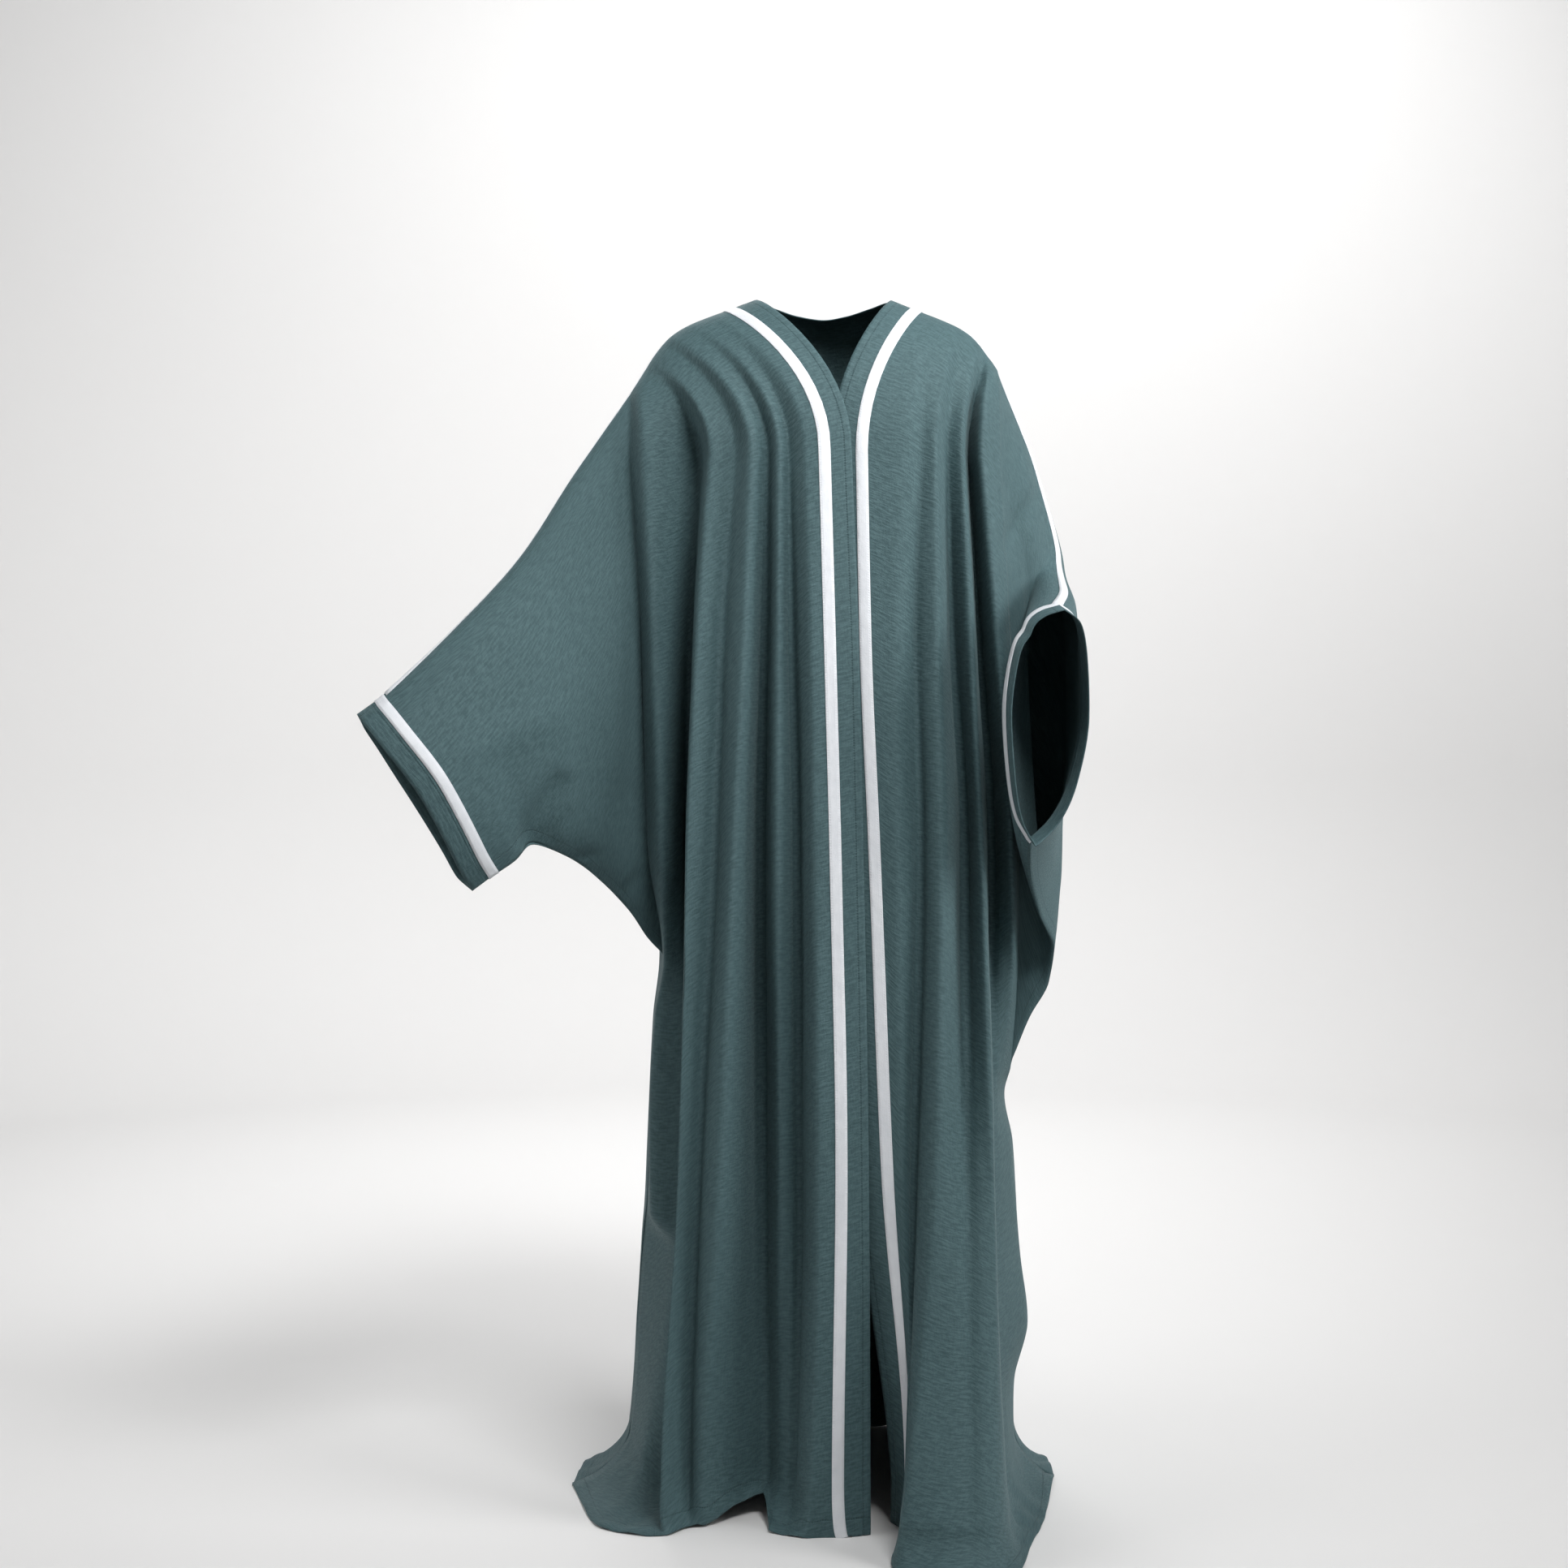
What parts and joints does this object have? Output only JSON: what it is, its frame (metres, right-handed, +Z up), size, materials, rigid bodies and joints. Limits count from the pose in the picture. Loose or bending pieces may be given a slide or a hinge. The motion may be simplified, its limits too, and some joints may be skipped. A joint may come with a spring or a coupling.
{
  "type": "butterfly abaya",
  "caption": "Open-front butterfly abaya in dark teal crepe, with wide wing sleeves and white ribbon tape down the fronts, along the arms and round the cuffs.",
  "frame": {"origin": "middle of the shoulders, where the wearer holds the garment up, 1.45 m above the floor its hem lies on", "axes": "+Z up, the open front faces -Y, +X towards the wearer's left arm"},
  "size_m": [0.8359, 0.6077, 1.4679],
  "materials": {
    "crepe": "dark teal crepe, soft matt sheen",
    "tape": "white satin-faced ribbon"
  },
  "bodies": {
    "root": {"back": "crepe", "front_right": "crepe", "front_left": "crepe", "cuff_band_right": "crepe", "cuff_band_left": "crepe", "front_tape_right": "tape", "front_tape_left": "tape", "sleeve_tape_right": "tape", "sleeve_tape_left": "tape", "cuff_tape_right": "tape", "cuff_tape_left": "tape"}
  },
  "joints": []
}
